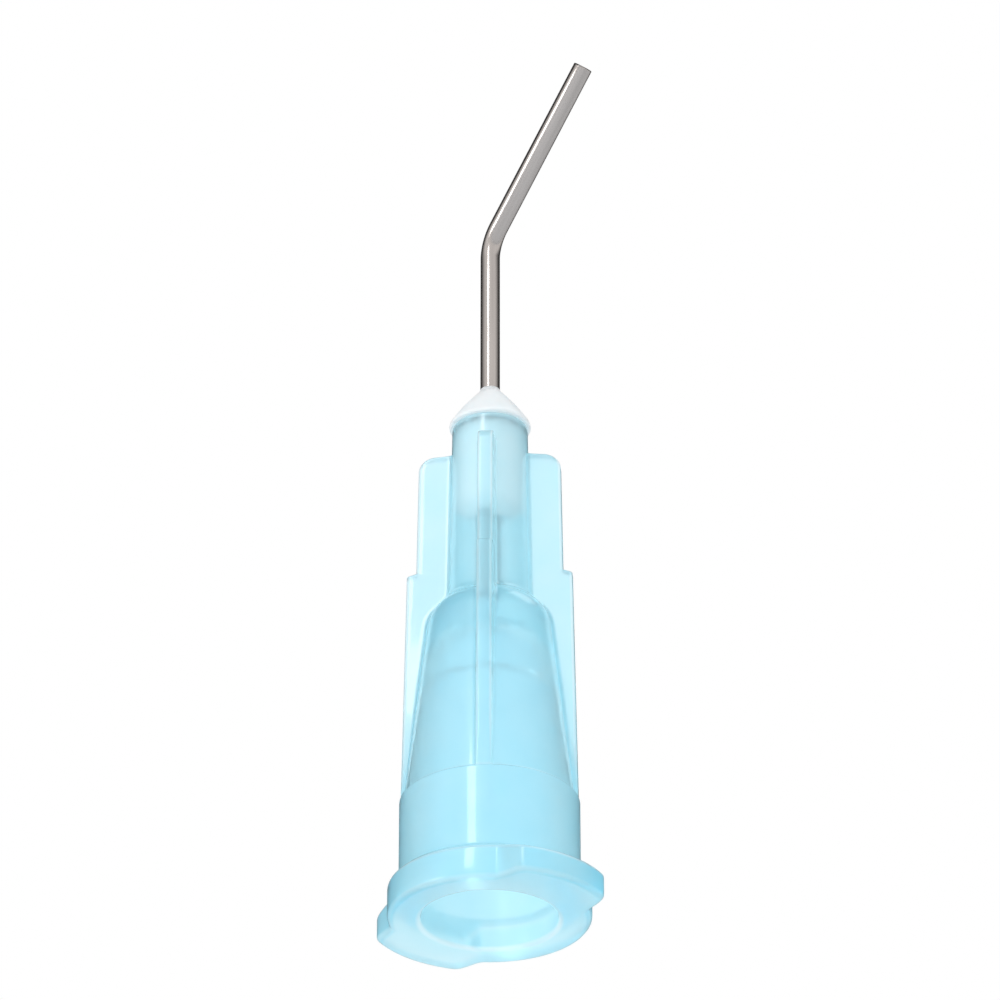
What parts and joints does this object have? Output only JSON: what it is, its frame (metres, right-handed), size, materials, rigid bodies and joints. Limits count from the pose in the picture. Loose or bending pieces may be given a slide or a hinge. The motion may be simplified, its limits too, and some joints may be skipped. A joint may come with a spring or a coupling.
{
  "type": "dispensing needle tip",
  "caption": "Dispensing needle tip: a clear blue moulded luer-lock hub with a thin steel cannula bent at 45 degrees and bonded in with a white adhesive cone.",
  "frame": {"origin": "centre of the hub's mouth face, on the hub's axis", "axes": "+Z along the hub's axis from the mouth towards the needle, +X towards the side that the cannula bends to, which is also the middle of one lug"},
  "size_m": [0.0088, 0.0064, 0.0296],
  "materials": {
    "hub_polypropylene": "translucent pale blue moulding, softly frosted, glossy edges",
    "cannula_steel": "bright drawn tube with fine lines along its length",
    "white_adhesive": "opaque white, satin, slightly uneven"
  },
  "bodies": {
    "root": {"hub": "hub_polypropylene", "cannula": "cannula_steel", "adhesive": "white_adhesive"}
  },
  "joints": []
}
